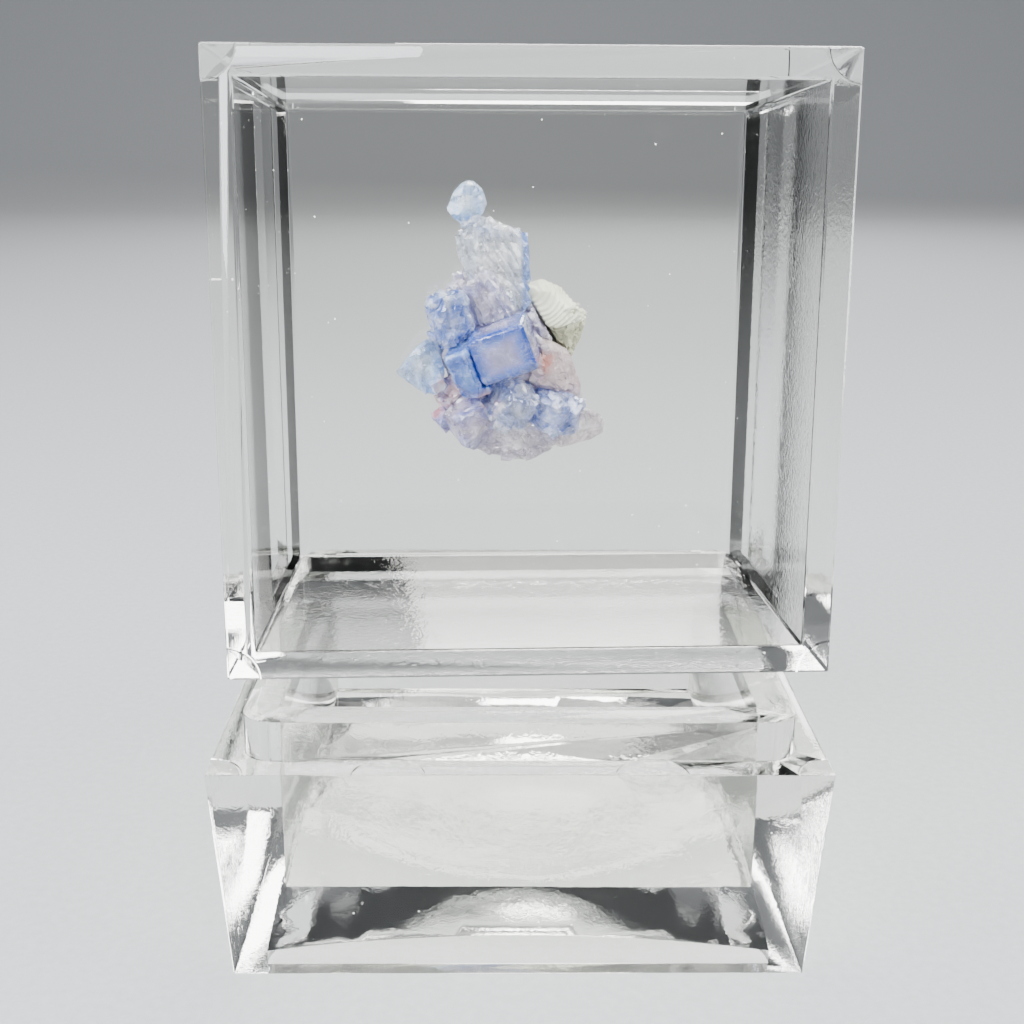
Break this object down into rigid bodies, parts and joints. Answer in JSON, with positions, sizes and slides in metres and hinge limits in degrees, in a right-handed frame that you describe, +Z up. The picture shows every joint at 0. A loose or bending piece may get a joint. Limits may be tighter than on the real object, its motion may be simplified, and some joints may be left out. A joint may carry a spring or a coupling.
{
  "type": "mineral specimen in display case",
  "caption": "Blue fluorite crystal cluster held by putty inside the clear lid of a square display case, the lid lying on its side on the clear dished base.",
  "frame": {"origin": "under the middle of the object, at the level of the base's underside", "axes": "+Z up, -Y towards the open mouth of the lid, +X to the right seen from the front"},
  "size_m": [0.0512, 0.0494, 0.0733],
  "materials": {
    "clear_case": "clear gloss moulded plastic",
    "tack": "matte putty with ridges",
    "blue_fluorite": "glassy, colour zoned",
    "pale_fluorite": "glassy, translucent",
    "clear_fluorite": "frosted, translucent",
    "pink_matrix": "rough, translucent"
  },
  "bodies": {
    "base": {"base_tray": "clear_case"},
    "cover": {"cover_box": "clear_case", "mineral_tack": "tack", "main_blue_cube": "blue_fluorite", "lower_blue_block": "blue_fluorite", "upper_left_blue_block": "blue_fluorite", "bottom_front_crystal": "pale_fluorite", "bottom_right_crystal": "pale_fluorite", "bottom_left_crystal": "pale_fluorite", "left_point_crystal": "pale_fluorite", "spire_tip_crystal": "pale_fluorite", "clear_spire": "clear_fluorite", "pale_upper_block": "pale_fluorite", "lower_left_matrix": "pink_matrix", "bottom_centre_crystal": "pale_fluorite", "pink_matrix": "pink_matrix", "lower_right_lobe": "clear_fluorite", "core_matrix": "pink_matrix"}
  },
  "joints": [
    {"name": "cover_lift", "type": "slide", "parent": "base", "child": "cover", "axis": [0, 0, 1], "range_m": [0, 0.04]}
  ]
}
